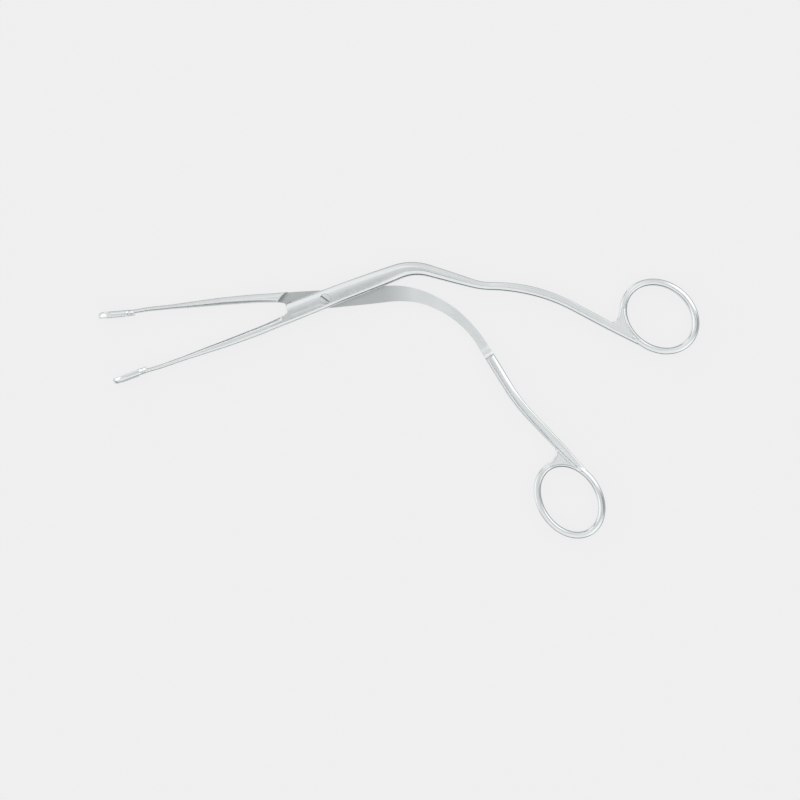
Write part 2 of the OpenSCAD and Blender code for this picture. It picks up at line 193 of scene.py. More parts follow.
# Share of JAW_L, then the slopes of the outer and of the inner side as for the handles
FRONT_JAW_FORM = [
    (0.02, 1.00, 0.22, 0.22, 0.26, 0.30, 0.01, 0.10, 0.10, 0.20, 0.10),
    (0.20, 1.00, 0.24, 0.22, 0.26, 0.30, 0.03, 1.25, 0.95, 0.30, 0.04),
    (0.30, 1.00, 0.25, 0.22, 0.26, 0.30, 0.03, 0.95, 0.78, 0.25, 0.03),
    (0.45, 0.90, 0.23, 0.22, 0.24, 0.30, 0.04, 0.82, 0.70, 0.20, 0.03),
    (0.60, 0.70, 0.20, 0.20, 0.22, 0.30, 0.05, 0.70, 0.60, 0.20, 0.03),
    (0.866, 0.45, 0.14, 0.18, 0.18, 0.25, 0.05, 0.36, 0.32, 0.15, 0.12),
]
REAR_JAW_FORM = [
    (0.02, 1.20, 0.20, 0.25, 0.22, 0.30, 0.02, 0.10, 0.10, 0.25, 0.15),
    (0.20, 1.20, 0.20, 0.25, 0.22, 0.90, 0.18, 0.30, 0.28, 0.30, 0.20),
    (0.28, 1.20, 0.26, 0.25, 0.22, 0.70, 0.20, 0.55, 0.50, 0.30, 0.25),
    (0.42, 1.20, 0.30, 0.25, 0.22, 0.40, 0.12, 0.95, 0.85, 0.30, 0.30),
    (0.60, 0.90, 0.24, 0.22, 0.20, 0.25, 0.08, 0.60, 0.54, 0.25, 0.25),
    (0.866, 0.60, 0.16, 0.18, 0.18, 0.20, 0.06, 0.34, 0.30, 0.20, 0.15),
]
# The same slopes, softness and crown for the rings and the grips
RING_INNER, RING_OUTER = (0.60, 0.16, 0.50, 0.43), (1.10, 0.25, 0.35, 0.36)
RING_SOFT, RING_CROWN = 0.3, 0.05
PAD_OUTER, PAD_INNER = (0.90, 0.22, 0.30, 0.35), (0.25, 0.05, 0.12, 0.12)
PAD_SOFT, PAD_CROWN = 0.2, 0.05
# Where the first section of a grip's nose stands, as a share of the nose's quarter turn
PAD_NOSE_START = 0.03

# Steel. Lengths in millimetres; noise scales are per metre, with their stretch along,
# across and up.
TINT = (0.82, 0.85, 0.855)
CLOUD_SCALE, CLOUD_DETAIL = 70, 4
GRAIN_SCALE, GRAIN_DETAIL, GRAIN_STRETCH = 6000, 2, (0.03, 1, 1)
LINES_SCALE, LINES_DETAIL, LINES_STRETCH = 1800, 1, (0.012, 1, 0.5)
SCRATCH_SCALE, SCRATCH_DETAIL, SCRATCH_STRETCH = 2200, 1, (0.08, 1, 0.3)
RUB_SCALE, RUB_NEAR, RUB_FAR = 3500, 12, 25
# Where most values of a noise lie, of the long lines, and of the few scratches
NOISE_SPAN, LINES_SPAN, SCRATCH_SPAN = (0.3, 0.7), (0.35, 0.65), (0.64, 0.74)
CLOUD_ROUGH, GRAIN_ROUGH, SCRATCH_ROUGH, RUB_ROUGH = 0.025, 0.02, 0.04, 0.05
CLOUD_SHADE, LINES_SHADE, SLOT_SHADE = 0.95, 0.96, 0.4
# Millimetres over which the satin and the painted shade near the pivot fade out, and the heights
# between which that painted shade fades
SATIN_FADE, PAINTED_SHADE_FADE = 12, 13
PAINTED_SHADE_LOW, PAINTED_SHADE_HIGH = 0.6 * JOINT_T, 0.8 * JOINT_T
BUMP_STRENGTH, BUMP_DEPTH = 0.15, 0.01
# For each piece: roughness near the pivot and beyond, how far from the pivot the first
# reaches, the colour factor of painted shade on low faces near the pivot, how far that
# reaches, and the height of the slot floor, where the painted shade in the slot is darkest
STEELS = {
    "front_half": ("front_satin", 0.22, 0.16, 30, 1.0, 15, None),
    "rear_half": ("rear_satin", 0.34, 0.16, 70, 0.68, 25, None),
    "pivot_screw": ("screw_satin", 0.22, 0.22, 30, 0.96, 15, JOINT_T - 0.3),
}

# Camera: the photograph's middle and width in millimetres
VIEW_CENTRE, VIEW_WIDTH = (31.75, -42.79), 339.6
LENS, SENSOR, CLIP_END = 90, 36, 10

# Floor: its paint, and the share and brightness of the colour that it has by itself
FLOOR_SIZE, FLOOR_PAINT, FLOOR_ROUGHNESS = 6, 0.86, 0.9
FLOOR_OWN_SHARE, FLOOR_OWN = 0.92, 0.878

# The white tent. Its foot's brightness, then round patches, each over those before it:
# azimuth and elevation of its middle, radius of its full part and of its end, all in
# degrees, and its brightness.
TENT_FOOT = 0.25
TENT_PATCHES = [
    (0, 90, 56, 78, 0.82),
    (-85, 0, 14, 42, 0.03),
    (-35, 8, 8, 20, 0.03),
    (112, 8, 8, 17, 0.18),
    (0, 8, 8, 24, 0.15),
    (-90, 60, 16, 32, 0.98),
    (105, 68, 4, 14, 1.10),
    (180, 30, 20, 34, 1.25),
    (125, 20, 9, 14, 1.5),
    (36, 50, 8, 19, 1.45),
    (-42, 48, 8, 18, 1.2),
    (2, 52, 5, 13, 0.35),
    (162, 88.4, 2, 5.5, 0.30),
    (-98, 84.6, 3.4, 7.2, 0.02),
    (218, 84.3, 1.5, 4.2, 0.86),
    (-17, 84.6, 2.8, 4.8, 1.02),
]


def table(rows, x, soften=0.0):
    """Columns of a table at x, averaged over a small stretch so that no corner shows."""
    rows = np.array(rows, float)
    x = np.atleast_1d(np.asarray(x, float))
    spread = soften * np.linspace(-1, 1, 9)
    at = x[:, None] + spread
    return [np.interp(at, rows[:, 0], rows[:, k]).mean(1) for k in range(1, rows.shape[1])]


def ahead(h):
    return np.stack([np.cos(np.radians(h)), np.sin(np.radians(h))], -1)


def left(h):
    return np.stack([-np.sin(np.radians(h)), np.cos(np.radians(h))], -1)


def path_length(path):
    return sum(length for length, _ in path)


def pose(path, distances):
    """Points and headings at distances along a path."""
    points, headings = [], []
    for rest in np.atleast_1d(distances):
        p, h = np.zeros(2), 0.0
        for k, (length, turn) in enumerate(path):
            part = rest if k == len(path) - 1 else min(rest, length)
            if turn:
                bend = turn * part / length
                p = p + length * 180 / (math.pi * turn) * (left(h) - left(h + bend))
                h += bend
            else:
                p = p + part * ahead(h)
            rest -= part
            if rest <= 0:
                break
        points.append(p)
        headings.append(h)
    return np.array(points), np.array(headings)


def softened(corners, soft):
    """A closed outline with each corner replaced by a short curve."""
    before, after = np.roll(corners, 1, 0) - corners, np.roll(corners, -1, 0) - corners
    curve = []
    for corner, b, a in zip(corners, before, after):
        b_length, a_length = max(np.hypot(*b), 1e-6), max(np.hypot(*a), 1e-6)
        start = corner + b * min(soft / b_length, CORNER_SHARE)
        end = corner + a * min(soft / a_length, CORNER_SHARE)
        for t in (0, 1 / 3, 2 / 3, 1):
            curve.append((1 - t) ** 2 * start + 2 * t * (1 - t) * corner + t ** 2 * end)
    return np.array(curve)


def section(a, b, left_side, right_side, soft, crown):
    """A bar's cross section: a crowned top and bottom, and on each side a shallow slope and a
    steep one, each with its width and drop."""
    width = left_side[0] + left_side[2] + right_side[0] + right_side[2]
    narrow = min(1, SLOPES_W_SHARE * a / width)
    top = []
    for sign, (w1, d1, w2, d2) in ((1, left_side), (-1, right_side)):
        flat = min(1, SLOPES_H_SHARE * b / (d1 + d2))
        half = [(a, b - flat * (d1 + d2)), (a - narrow * w2, b - flat * d1)]
        half.append((a - narrow * (w1 + w2), b))
        top.append([(sign * u, v) for u, v in half])
    flat_u = np.linspace(top[0][-1][0], top[1][-1][0], 7)[1:-1]
    top = np.array(top[0] + [(u, b) for u in flat_u] + top[1][::-1])
    top[:, 1] -= crown * (top[:, 0] / a) ** 2
    return softened(np.concatenate([top, top[::-1] * (1, -1)]), soft)


def placed(p, h, points, z):
    """A section's points in space, across the heading h at point p."""
    return np.column_stack([p + points[:, :1] * left(h), z + points[:, 1]])


def new_object(name, vertices, faces):
    mesh = bpy.data.meshes.new(name)
    mesh.from_pydata((np.asarray(vertices) * MM).tolist(), [], [list(map(int, f)) for f in faces])
    mesh.update()
    obj = bpy.data.objects.new(name, mesh)
    bpy.context.scene.collection.objects.link(obj)
    return obj


def loft(name, rows, loop=False):
    """A closed solid through a row of placed sections."""
    count, n = len(rows), len(rows[0])
    faces = []
    for i in range(count if loop else count - 1):
        low, high = i * n, (i + 1) % count * n
        faces += [(low + j, low + (j + 1) % n, high + (j + 1) % n, high + j) for j in range(n)]
    if not loop:
        faces += [range(n - 1, -1, -1), range((count - 1) * n, count * n)]
    return new_object(name, np.concatenate(rows), faces)


def prism(name, outline, low, high, top=None):
    """An upright solid over an outline; its top may have an outline of its own."""
    outline = np.asarray(outline, float)
    top = outline if top is None else np.asarray(top, float)
    after = np.roll(outline, -1, 0)
    if (outline[:, 0] * after[:, 1] - outline[:, 1] * after[:, 0]).sum() < 0:
        outline, top = outline[::-1], top[::-1]
    n = len(outline)
    vertices = np.column_stack([np.concatenate([outline, top]), np.repeat([low, high], n)])
    sides = [(j, (j + 1) % n, n + (j + 1) % n, n + j) for j in range(n)]
    return new_object(name, vertices, sides + [range(n - 1, -1, -1), range(n, 2 * n)])


def reshape(obj, change):
    """Moves every vertex: change takes and gives an array of points in millimetres."""
    points = np.empty(3 * len(obj.data.vertices), np.float32)
    obj.data.vertices.foreach_get("co", points)
    points = change(points.reshape(-1, 3).astype(float) / MM) * MM
    obj.data.vertices.foreach_set("co", np.ascontiguousarray(points, np.float32).ravel())
    obj.data.update()
    return obj


def swap_axes(points):
    """Lays a prism on its side: what was up becomes +Y."""
    return np.column_stack([points[:, 0], points[:, 2], -points[:, 1]])


def select_only(obj):
    bpy.ops.object.select_all(action="DESELECT")
    obj.select_set(True)
    bpy.context.view_layer.objects.active = obj


def apply(obj, kind, **settings):
    """Adds a modifier with these settings and applies it."""
    modifier = obj.modifiers.new(kind.lower(), kind)
    for key, value in settings.items():
        setattr(modifier, key, value)
    select_only(obj)
    bpy.ops.object.modifier_apply(modifier=modifier.name)


def cut(obj, *tools):
    for tool in tools:
        apply(obj, "BOOLEAN", operation="DIFFERENCE", object=tool, solver="MANIFOLD")
        bpy.data.objects.remove(tool)


def join(name, objects):
    select_only(objects[0])
    for obj in objects[1:]:
        obj.select_set(True)
    bpy.ops.object.join()
    objects[0].name = name
    return objects[0]


def drill(name, radius, low, high):
    """An upright cylinder on the pivot axis."""
    turn = np.linspace(0, 360, BORE_STEPS, endpoint=False)
    return prism(name, radius * ahead(turn), low, high)


# The plate's free corner, and the shoulder wall that clears it when the jaws are closed
CORNER_Y = JOINT_W / 2 - PLATE_CORNER_R
CORNER_X = (
    CORNER_Y / math.tan(math.radians(PLATE_END_LEAN))
    + PLATE_CORNER_R / math.sin(math.radians(PLATE_END_LEAN))
    - PLATE_BACK
)
CORNER_REACH = PLATE_CORNER_R + SHOULDER_CLEAR + CORNER_Y * math.cos(math.radians(SHOULDER_LEAN))
WALL_X = CORNER_REACH / math.sin(math.radians(SHOULDER_LEAN)) - CORNER_X


def sides(columns, i):
    """Row i of a form table, as two sides, the softness and the crown."""
    row = [column[i] for column in columns]
    return row[0:4], row[4:8], row[8], row[9]


def handle(path, widths, form):
    whole = path_length(path)
    s = np.linspace(-PLATE_BACK - ROOT_FILLET_L, whole, HANDLE_STEPS)
    width = table(widths, s / whole, FORM_SOFTEN)[0] * JOINT_W / 2
    height = table(HANDLE_HEIGHT, s / whole, HEIGHT_SOFTEN)[0] * JOINT_T / 2
    columns = table(form, s / whole, FORM_SOFTEN)
    points, headings = pose(path, s)
    rows = []
    for i in range(len(s)):
        outline = section(width[i], height[i], *sides(columns, i))
        rows.append(placed(points[i], headings[i], outline, MID_Z))
    return loft("handle", rows)


def plate_end(side):
    """What is cut off the jaw end of a plate."""
    far = PLATE_BACK + 2 * ROOT_FILLET_L
    slant = math.tan(math.radians(PLATE_END_LEAN))
    turn = 90 + PLATE_END_LEAN * (1 - np.linspace(0, 1, ARC_STEPS))
    corner = np.array([CORNER_X, CORNER_Y]) + PLATE_CORNER_R * ahead(turn)
    low = [(-far, -JOINT_W), (-PLATE_BACK - JOINT_W / slant, -JOINT_W)]
    outline = np.concatenate([low, corner, [(CORNER_X, JOINT_W), (-far, JOINT_W)]])
    outline[:, 1] *= -side
    return prism("plate_end", outline, -OVERRUN, JOINT_T + OVERRUN)


def root_fillet(side):
    """The curve that leads from a plate's end into the jaw's inner edge."""
    inner = table(JAW, (PLATE_BACK + ROOT_FILLET_L / 2) / JAW_L)[0][0] * JAW_W
    end = ROOT_FILLET_H / math.tan(math.radians(PLATE_END_LEAN)) - PLATE_BACK
    t = np.radians(np.linspace(0, 90, ARC_STEPS))
    curve = np.column_stack([
        end - ROOT_FILLET_L * (1 - np.sin(t)), ROOT_FILLET_H * (1 - np.cos(t)) - inner
    ])
    low = -JOINT_W / 4
    right = [(end + ROOT_FILLET_H, ROOT_FILLET_H - inner), (end + ROOT_FILLET_H, low)]
    outline = np.concatenate([[(end - ROOT_FILLET_L, low)], curve, right])
    outline[:, 1] *= -side
    return prism("root_fillet", outline, 0, JOINT_T)


def jaw_arm(side, form):
    share = np.linspace(JAW[-1][0], JAW[0][0], JAW_STEPS)
    inner, outer, height = table(JAW, share, JAW_SOFTEN)
    columns = table(form, share, FORM_SOFTEN)
    rows = []
    for i in range(len(share)):
        outer_side, inner_side, *rest = sides(columns, i)
        order = (outer_side, inner_side) if side > 0 else (inner_side, outer_side)
        a, b = (outer[i] - inner[i]) * JAW_W / 2, height[i] * JOINT_T / 2
        outline = section(a, b, *order, *rest)
        middle = np.array([-share[i] * JAW_L, side * (inner[i] + outer[i]) / 2 * JAW_W])
        rows.append(placed(middle, 0, outline, MID_Z))
    return loft("jaw_arm", rows)


def grip(side):
    """The oval grip, before its window and grooves are cut."""
    face = TIP_GAP / 2
    neck = table(JAW, (JAW_L - PAD_L) / JAW_L)[2][0] * MID_Z
    quarter = np.linspace(PAD_NOSE_START, 1, NOSE_STEPS) * math.pi / 2
    nose = PAD_NOSE_L * (1 - np.cos(quarter))
    d = np.concatenate([nose, np.linspace(PAD_NOSE_L, PAD_L, PAD_STEPS)[1:]])
    round_end = PAD_W / 2 * np.sqrt(1 - np.clip(1 - d / PAD_NOSE_L, 0, 1) ** 2)
    t = np.clip((d - PAD_L + PAD_NECK_L) / PAD_NECK_L, 0, 1)
    half = np.minimum(round_end, neck + (PAD_W / 2 - neck) * (1 + np.cos(math.pi * t)) / 2)
    slim = np.sqrt(1 - np.clip(1 - d / PAD_SLIM_L, 0, 1) ** 2)
    order = (PAD_OUTER, PAD_INNER) if side > 0 else (PAD_INNER, PAD_OUTER)
    rows = []
    for i in range(len(d)):
        a = (PAD_T - face) / 2 * (PAD_SLIM_T_SHARE + (1 - PAD_SLIM_T_SHARE) * slim[i])
        outline = section(a, half[i], *order, PAD_SOFT, PAD_CROWN)
        rows.append(placed(np.array([-JAW_L + d[i], side * (face + a)]), 0, outline, MID_Z))
    return loft("grip", rows)


def oval(a, b, turn, t):
    t = np.radians(t)
    return np.cos(t)[..., None] * a * ahead(turn) + np.sin(t)[..., None] * b * left(turn)


def oval_heading(a, b, turn, t):
    """The direction in which an oval runs at parameter t."""
    t = np.radians(t)
    along = -np.sin(t)[..., None] * a * ahead(turn) + np.cos(t)[..., None] * b * left(turn)
    return np.degrees(np.arctan2(along[..., 1], along[..., 0]))


def ring_place(path, a, b, turn, way):
    """A ring's centre, and the parameter at which its handle runs into it."""
    end, heading = pose(path, path_length(path))
    lean = math.radians(heading[0] - turn)
    touch = math.degrees(math.atan2(-way * b * math.cos(lean), way * a * math.sin(lean)))
    return end[0] - oval(a, b, turn, np.float64(touch)), touch


def ring(path, a, b, turn, way):
    centre, _ = ring_place(path, a, b, turn, way)
    t = np.linspace(0, 360, RING_STEPS, endpoint=False)
    outline = section(BAND_W / 2, BAND_T / 2, RING_INNER, RING_OUTER, RING_SOFT, RING_CROWN)
    points, headings = centre + oval(a, b, turn, t), oval_heading(a, b, turn, t)
    return loft("ring", [placed(p, h, outline, MID_Z) for p, h in zip(points, headings)], True)


def web_edge(path, a, b, turn, way, web_l, web_turn):
    """The hollow curve from the handle's edge to the ring, where it starts on the handle's
    centre line, and the ring's parameter where it ends."""
    centre, touch = ring_place(path, a, b, turn, way)
    back, heading = pose(path, path_length(path) - web_l)
    back, heading = back[0], heading[0]
    near = back + way * BAND_W / 2 * left(heading)
    t_far = np.float64(touch - way * web_turn)
    out_a, out_b = a + BAND_W / 2, b + BAND_W / 2
    far = centre + oval(out_a, out_b, turn, t_far)
    far_left = left(oval_heading(out_a, out_b, turn, t_far))
    corner = near + ahead(heading) * ((far - near) @ far_left) / (ahead(heading) @ far_left)
    t = np.linspace(0, 1, ARC_STEPS)[:, None]
    return (1 - t) ** 2 * near + 2 * t * (1 - t) * corner + t ** 2 * far, back, t_far


def inside_edge(hollow, way, distance):
    """The web's hollow edge moved into the web."""
    run = np.gradient(hollow, axis=0)
    return hollow - way * distance * left(np.degrees(np.arctan2(run[:, 1], run[:, 0])))


def web(path, a, b, turn, way, web_l, web_turn):
    """The web between the ring and its handle, sloped along its hollow edge."""
    centre, _ = ring_place(path, a, b, turn, way)
    hollow, back, t_far = web_edge(path, a, b, turn, way, web_l, web_turn)
    rim = centre + oval(a, b, turn, t_far + way * web_turn * np.linspace(0, 1, ARC_STEPS))
    outline = np.concatenate([hollow, rim, [back]])
    narrow = np.concatenate([inside_edge(hollow, way, WEB_EDGE_W), rim, [back]])
    high, edge = WEB_T / 2, WEB_T / 2 - WEB_EDGE_DROP
    return [
        prism("web", outline, MID_Z - edge, MID_Z + edge),
        prism("web_top", outline, MID_Z + edge, MID_Z + high, narrow),
        prism("web_bottom", narrow, MID_Z - high, MID_Z - edge, outline),
    ]


def ring_blend(path, a, b, turn, way, web_l, web_turn):
    """What is taken off both faces of a ring so that its outer slope runs into the web."""
    centre, touch = ring_place(path, a, b, turn, way)
    hollow, _, t_far = web_edge(path, a, b, turn, way, web_l, web_turn)
    end, heading = pose(path, path_length(path))
    along, across = ahead(heading[0]), way * left(heading[0])
    line = end - [[web_l], [0]] * along + [[BLEND_START], [BLEND_END]] * across
    thin = BAND_W / 2 - RING_INNER[0] - RING_INNER[2]
    inner = centre + oval(a - thin, b - thin, turn, np.linspace(touch, t_far, 2 * ARC_STEPS))
    outline = np.concatenate([line, inner, inside_edge(hollow, way, -BAND_W / 2)[::-1]])
    over = prism("blend", outline, MID_Z + WEB_T / 2, JOINT_T + OVERRUN)
    under = prism("blend", outline, -OVERRUN, MID_Z - WEB_T / 2)
    return over, under


def lap_cut(side, path):
    """What is milled away over the lap face, from the sloping shoulder wall to the ramp."""
    lap_z = MID_Z - LAP_CLEAR / 2
    run = JOINT_W / math.tan(math.radians(SHOULDER_LEAN))
    points, headings = pose(path, np.linspace(0, LAP_L, LAP_STEPS)[1:])
    across = JOINT_W * left(headings)
    edges = np.concatenate([points + across, (points - across)[::-1]])
    wall = np.array([(-WALL_X - side * run, -JOINT_W), (-WALL_X + side * run, JOINT_W)])
    slab = prism("slab", np.concatenate([wall, edges]), lap_z, JOINT_T + OVERRUN)
    lean = BEVEL_W / math.sin(math.radians(SHOULDER_LEAN))
    high_wall = wall - [lean * (BEVEL_H + OVERRUN) / BEVEL_H, 0]
    near_edges = wall[::-1] + [RAMP_R, 0]
    bevel = prism(
        "bevel", np.concatenate([wall, near_edges]), JOINT_T - BEVEL_H, JOINT_T + OVERRUN,
        np.concatenate([high_wall, near_edges]),
    )
    t = np.radians(np.linspace(0, 90, 2 * ARC_STEPS))
    curve = np.column_stack([RAMP_R * np.sin(t), RAMP_R * (1 - np.cos(t)) + lap_z])
    high = JOINT_T + RAMP_R
    profile = np.concatenate([[(-OVERRUN, lap_z)], curve, [(RAMP_R, high), (-OVERRUN, high)]])
    ramp = prism("ramp", profile, -JOINT_W, JOINT_W)
    end, heading = points[-1], headings[-1]

    def stand(p):
        flat = end + p[:, :1] * ahead(heading) - p[:, 2:] * left(heading)
        return np.column_stack([flat, p[:, 1]])

    reshape(ramp, stand)
    if side < 0:
        for tool in (slab, bevel, ramp):
            reshape(tool, lambda p: p * (1, 1, -1) + (0, 0, JOINT_T))
            tool.data.flip_normals()
    return slab, bevel, ramp


def grip_cuts(side):
    """The window and the cross grooves of a grip."""
    face = side * TIP_GAP / 2
    middle = -JAW_L + (PAD_L - PAD_NECK_L + PAD_RIM) / 2
    half, r = (WINDOW_L - WINDOW_W) / 2, WINDOW_W / 2
    turn = np.linspace(-90, 90, WINDOW_STEPS)
    right = r * ahead(turn) + [middle + half, 0]
    away = -r * ahead(turn) + [middle - half, 0]
    window = prism("window", np.concatenate([right, away]), -PAD_T - OVERRUN, PAD_T + OVERRUN)
    reshape(window, lambda p: swap_axes(p) + (0, 0, MID_Z))
    tools = [window]
    count = int(WINDOW_L / GROOVE_PITCH)
    for k in range(count + 1):
        x, d = middle + (k - count / 2) * GROOVE_PITCH, GROOVE_DEPTH
        diamond = [(x - d, face), (x, face - d), (x + d, face), (x, face + d)]
        tools.append(prism("groove", diamond, MID_Z - PAD_W, MID_Z + PAD_W))
    return tools


def turned(obj, degrees):
    """Turns a mesh about the pivot, from closed to its rest position."""
    along, across = ahead(degrees), left(degrees)
    return reshape(obj, lambda p: np.column_stack([p[:, :1] * along + p[:, 1:2] * across, p[:, 2]]))


def mark_grain(body, path, oval_size, way):
    """Stores for each vertex how far along and across its bar it lies, so that the grain of
    the steel follows the handle and goes round the ring."""
    points = np.empty(3 * len(body.data.vertices), np.float32)
    body.data.vertices.foreach_get("co", points)
    points = points.reshape(-1, 3).astype(float) / MM
    s = np.linspace(-JAW_L, path_length(path), GRAIN_STEPS)
    middles, headings = pose(path, s)
    marks = np.empty_like(points)
    for low in range(0, len(points), GRAIN_BATCH):
        p = points[low:low + GRAIN_BATCH]
        near = ((p[:, None, :2] - middles) ** 2).sum(2).argmin(1)
        away = p[:, :2] - middles[near]
        along = s[near] + (away * ahead(headings[near])).sum(1)
        across = (away * left(headings[near])).sum(1)
        marks[low:low + GRAIN_BATCH] = np.column_stack([along, across, p[:, 2]])
    away = points[:, :2] - ring_place(path, *oval_size, way)[0]
    out = np.hypot(*away.T)
    round_ring = out < oval_size[0] + BAND_W
    marks[round_ring, 0] = np.arctan2(away[:, 1], away[:, 0])[round_ring] * oval_size[0]
    marks[round_ring, 1] = out[round_ring]
    mark = body.data.attributes.new("grain", "FLOAT_VECTOR", "POINT")
    mark.data.foreach_set("vector", (marks * MM).astype(np.float32).ravel())


def half(name, side, path, widths, form, jaw_form, oval_size, way, web_size):
    """One half of the forceps: forged as one body, then milled."""
    blank = handle(path, widths, form)
    cut(blank, plate_end(side))
    band = ring(path, *oval_size, way)
    cut(band, *ring_blend(path, *oval_size, way, *web_size))
    parts = [blank, root_fillet(side), jaw_arm(side, jaw_form), grip(side), band]
    body = join(name, parts + web(path, *oval_size, way, *web_size))
    apply(body, "REMESH", mode="VOXEL", voxel_size=VOXEL * MM)
    apply(body, "SMOOTH", factor=SMOOTH_FACTOR, iterations=SMOOTH_PASSES)
    cut(body, *lap_cut(side, path))
    cut(body, *grip_cuts(side))
    mark_grain(body, path, oval_size, way)
    return body


def front_half():
    body = half(
        "front_half_steel", -1, FRONT_PATH, FRONT_WIDTH, FRONT_FORM, FRONT_JAW_FORM,
        FRONT_RING, 1, FRONT_WEB,
    )
    high = JOINT_T + OVERRUN
    cut(body, drill("bore", SCREW_R + SCREW_CLEAR, MID_Z - OVERRUN, high))
    cut(body, drill("sink", HEAD_R + SCREW_CLEAR, JOINT_T - HEAD_H - SCREW_CLEAR, high))
    return turned(body, FRONT_TILT)


def rear_half():
    body = half(
        "rear_half_steel", 1, REAR_PATH, REAR_WIDTH, REAR_FORM, REAR_JAW_FORM,
        REAR_RING, -1, REAR_WEB,
    )
    cut(body, drill("bore", SCREW_R, -OVERRUN, JOINT_T))
    return turned(body, REAR_TILT)


def pivot_screw():
    """The screw: shank, and a head with a small round rim and a driver slot."""
    t = np.radians(np.linspace(0, 90, RIM_STEPS))
    rim_r, rim_z = HEAD_R - HEAD_RIM * (1 - np.cos(t)), JOINT_T - HEAD_RIM * (1 - np.sin(t))
    rim = np.column_stack([rim_r, rim_z])
    low = JOINT_T - HEAD_H
    profile = np.concatenate([[(SCREW_R, 0), (SCREW_R, low), (HEAD_R, low)], rim])
    turn = np.linspace(0, 360, SCREW_STEPS, endpoint=False)
    rows = [np.column_stack([r * ahead(turn), np.full(len(turn), z)]) for r, z in profile]
    body = loft("pivot_screw_steel", rows)
    reach, w = HEAD_R + OVERRUN, SLOT_W / 2
    slot = prism("slot", [(-reach, -w), (reach, -w), (reach, w), (-reach, w)],
                 JOINT_T - SLOT_DEPTH, JOINT_T + OVERRUN)
    cut(body, turned(slot, SLOT_ANGLE))
    return body


